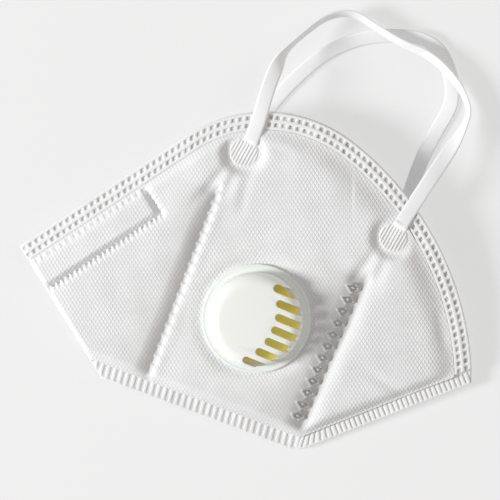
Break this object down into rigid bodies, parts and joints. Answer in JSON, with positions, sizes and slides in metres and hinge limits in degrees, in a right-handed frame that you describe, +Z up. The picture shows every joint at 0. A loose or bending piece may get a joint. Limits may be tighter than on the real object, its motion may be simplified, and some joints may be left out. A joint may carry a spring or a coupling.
{
  "type": "disposable dust mask",
  "caption": "Flat-fold disposable dust mask with a slotted exhalation valve and flat elastic ear loops, folded on its side; shell unfolds along creases.",
  "frame": {"origin": "on the underside of the lower half, straight below the valve's middle as the pattern lies flat", "axes": "+X from nose to chin, +Y from the front seam to the open face side, +Z up from the floor"},
  "size_m": [0.1528, 0.149, 0.0192],
  "materials": {
    "outer_fabric": "fine diamond emboss",
    "support_fabric": "soft",
    "filter_fabric": "smooth",
    "inner_fabric": "soft",
    "fused_fabric": "fused, embossed bars",
    "elastic": "knitted",
    "wire_metal": "satin",
    "valve_plastic": "smooth, slightly translucent",
    "flap_rubber": "smooth"
  },
  "bodies": {
    "right_middle": {"right_middle_outer": "outer_fabric", "right_middle_support": "support_fabric", "right_middle_filter": "filter_fabric", "right_middle_inner": "inner_fabric", "right_front_ear_weld": "fused_fabric", "right_rear_ear_weld": "fused_fabric", "front_seam": "fused_fabric"},
    "right_nose": {"right_nose_outer": "outer_fabric", "right_nose_support": "support_fabric", "right_nose_filter": "filter_fabric", "right_nose_inner": "inner_fabric", "right_nose_wire": "wire_metal"},
    "right_chin": {"right_chin_outer": "outer_fabric", "right_chin_support": "support_fabric", "right_chin_filter": "filter_fabric", "right_chin_inner": "inner_fabric", "chin_seam": "fused_fabric"},
    "left_middle": {"left_middle_outer": "outer_fabric", "left_middle_support": "support_fabric", "left_middle_filter": "filter_fabric", "left_middle_inner": "inner_fabric", "left_front_ear_weld": "fused_fabric", "left_rear_ear_weld": "fused_fabric", "valve_seat": "valve_plastic", "valve_inner_ring": "valve_plastic", "flap_root": "flap_rubber", "flap_clamp": "valve_plastic", "valve_cover": "valve_plastic"},
    "left_nose": {"left_nose_outer": "outer_fabric", "left_nose_support": "support_fabric", "left_nose_filter": "filter_fabric", "left_nose_inner": "inner_fabric", "left_nose_wire": "wire_metal"},
    "left_chin": {"left_chin_outer": "outer_fabric", "left_chin_support": "support_fabric", "left_chin_filter": "filter_fabric", "left_chin_inner": "inner_fabric"},
    "valve_flap": {"valve_flap": "flap_rubber"},
    "left_ear_loop": {"left_ear_loop": "elastic"},
    "right_ear_loop": {"right_ear_loop": "elastic"}
  },
  "joints": [
    {"name": "unfold", "type": "hinge", "parent": "right_middle", "child": "left_middle", "pos_m": [-0.05734, -0.01315, 0.00245], "axis": [0.9364, -0.3508, 0], "range_deg": [0, 42]},
    {"name": "right_nose_crease", "type": "hinge", "parent": "right_middle", "child": "right_nose", "pos_m": [-0.05734, -0.01315, 0.00245], "axis": [0.5069, 0.862, 0], "range_deg": [0, 15.42]},
    {"name": "right_chin_crease", "type": "hinge", "parent": "right_middle", "child": "right_chin", "pos_m": [0.01523, -0.04034, 0.00245], "axis": [-0.5075, -0.8617, 0], "range_deg": [0, 24.2]},
    {"name": "left_nose_crease", "type": "hinge", "parent": "left_middle", "child": "left_nose", "pos_m": [-0.05734, -0.01315, 0.00245], "axis": [-0.505, -0.8569, -0.103], "range_deg": [0, 15.42]},
    {"name": "left_chin_crease", "type": "hinge", "parent": "left_middle", "child": "left_chin", "pos_m": [0.01523, -0.04034, 0.00245], "axis": [0.5056, 0.8566, 0.103], "range_deg": [0, 24.2]},
    {"name": "flap_lift", "type": "hinge", "parent": "left_middle", "child": "valve_flap", "pos_m": [-0.00799, 0.0026, 0.0111], "axis": [-0.3888, -0.9154, -0.1044], "range_deg": [0, 9], "stiffness_Nm_per_rad": 0.0004},
    {"name": "left_loop_swing", "type": "hinge", "parent": "left_middle", "child": "left_ear_loop", "pos_m": [-0.00173, 0.06001, 0.01417], "axis": [0.8689, -0.4947, -0.0167], "range_deg": [0, 110]},
    {"name": "right_loop_swing", "type": "hinge", "parent": "right_middle", "child": "right_ear_loop", "pos_m": [-0.00147, 0.0607, 0], "axis": [-0.8686, 0.4955, 0], "range_deg": [0, 110]}
  ],
  "couplings": [
    {"joint": "right_nose_crease", "follows": "unfold", "ratio": 0.366},
    {"joint": "right_chin_crease", "follows": "unfold", "ratio": 0.575},
    {"joint": "left_nose_crease", "follows": "unfold", "ratio": 0.366},
    {"joint": "left_chin_crease", "follows": "unfold", "ratio": 0.575}
  ]
}
